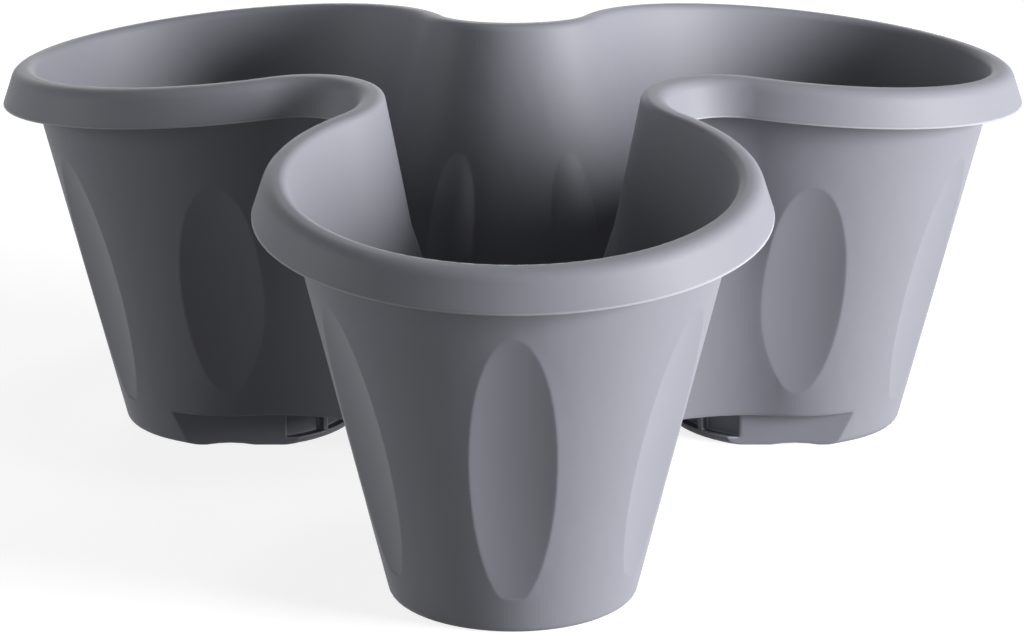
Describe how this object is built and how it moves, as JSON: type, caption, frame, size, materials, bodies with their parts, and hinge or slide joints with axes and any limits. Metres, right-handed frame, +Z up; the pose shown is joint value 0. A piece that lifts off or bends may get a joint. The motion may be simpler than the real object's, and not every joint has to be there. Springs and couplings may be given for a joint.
{
  "type": "indoor herb planter",
  "caption": "Plastic planter of joined round pots on raised feet, with a sloping rolled rim, fluted walls and a pull-out plug in each drain hole.",
  "frame": {"origin": "on the surface the planter stands on, under the middle of its overall box", "axes": "+Z up, -Y towards the lobe that faces the viewer, +X to the right, across the two rear lobes"},
  "size_m": [0.3802, 0.3522, 0.1526],
  "materials": {
    "pot_plastic": "satin moulded, slate grey",
    "plug_plastic": "satin moulded, dark grey"
  },
  "bodies": {
    "pot": {"pot": "pot_plastic"},
    "plug_front": {"drain_plug_front": "plug_plastic"},
    "plug_right": {"drain_plug_right": "plug_plastic"},
    "plug_left": {"drain_plug_left": "plug_plastic"}
  },
  "joints": [
    {"name": "front_plug_pull", "type": "slide", "parent": "pot", "child": "plug_front", "axis": [0, 0, 1], "range_m": [0, 0.16]},
    {"name": "right_plug_pull", "type": "slide", "parent": "pot", "child": "plug_right", "axis": [0, 0, 1], "range_m": [0, 0.16]},
    {"name": "left_plug_pull", "type": "slide", "parent": "pot", "child": "plug_left", "axis": [0, 0, 1], "range_m": [0, 0.16]}
  ]
}
